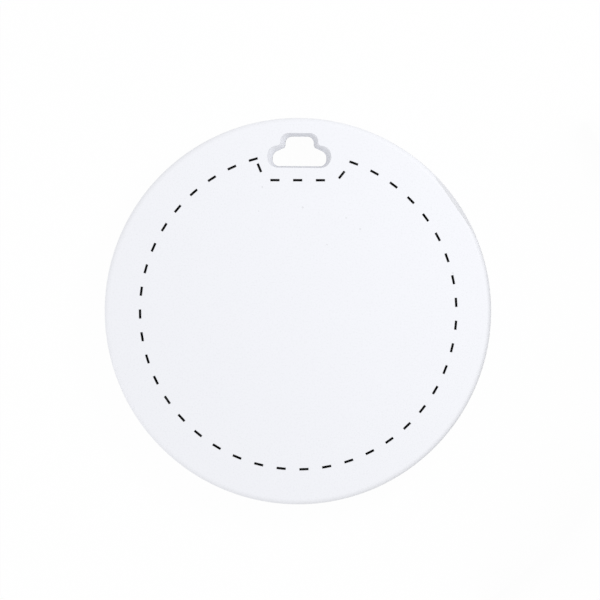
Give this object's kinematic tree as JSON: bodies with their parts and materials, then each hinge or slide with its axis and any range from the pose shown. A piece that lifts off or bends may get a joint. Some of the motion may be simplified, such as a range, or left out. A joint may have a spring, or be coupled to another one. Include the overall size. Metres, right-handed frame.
{
  "type": "bluetooth tracker tag",
  "caption": "Thin round white item-finder tag with a hat-shaped lanyard hole near the rim, a face that presses as a button, and a coin cell inside.",
  "frame": {"origin": "centre of the flat rear face, which the tag lies on", "axes": "+Z out of the face, +Y towards the lanyard hole"},
  "size_m": [0.038, 0.038, 0.0064],
  "materials": {
    "white_abs": "fine matt moulded",
    "black_nylon": "satin moulded",
    "chip_resin": "satin moulded",
    "ferrite": "sintered",
    "board_laminate": "solder mask",
    "bright_steel": "nickel plated",
    "piezo_brass": "rolled",
    "gilt_contact": "gilt",
    "white_ceramic": "fired",
    "tan_ceramic": "fired",
    "grey_silicone": "soft matt",
    "black_foam": "open cell"
  },
  "bodies": {
    "rear_cover": {"rear_cover": "white_abs", "sealing_ring": "grey_silicone", "battery_pad": "black_foam"},
    "chassis": {"inner_frame": "black_nylon", "circuit_board": "board_laminate", "bluetooth_chip": "chip_resin", "main_crystal": "bright_steel", "timing_crystal": "bright_steel", "chip_antenna": "white_ceramic", "boost_coil": "ferrite", "driver_transistor": "chip_resin", "reservoir_capacitor": "tan_ceramic", "capacitor_1": "tan_ceramic", "capacitor_2": "tan_ceramic", "capacitor_3": "tan_ceramic", "capacitor_4": "tan_ceramic", "resistor_1": "chip_resin", "resistor_2": "chip_resin", "positive_contact": "gilt_contact", "negative_contact": "gilt_contact", "plate_spring": "gilt_contact", "ceramic_spring": "gilt_contact", "switch_body": "black_nylon", "switch_dome": "bright_steel", "switch_lid": "bright_steel"},
    "coin_cell": {"cell_can": "bright_steel", "cell_gasket": "black_nylon", "cell_cap": "bright_steel"},
    "front_cover": {"front_cover": "white_abs", "piezo_tape": "black_foam", "piezo_plate": "piezo_brass", "piezo_ceramic": "white_ceramic"},
    "switch_plunger": {"switch_plunger": "black_nylon"}
  },
  "joints": [
    {"name": "case_open", "type": "slide", "parent": "rear_cover", "child": "chassis", "axis": [0, 0, 1], "range_m": [0, 0.012]},
    {"name": "cell_lift", "type": "slide", "parent": "rear_cover", "child": "coin_cell", "axis": [0, 0, 1], "range_m": [0, 0.006]},
    {"name": "face_press", "type": "slide", "parent": "chassis", "child": "front_cover", "axis": [0, 0, -1], "range_m": [0, 0.0002], "stiffness_N_per_m": 1500, "springref_m": -0.001},
    {"name": "switch_travel", "type": "slide", "parent": "chassis", "child": "switch_plunger", "axis": [0, 0, -1], "range_m": [0, 0.0002]}
  ],
  "couplings": [
    {"joint": "cell_lift", "follows": "case_open", "ratio": 0.5},
    {"joint": "switch_travel", "follows": "face_press", "ratio": 1}
  ]
}
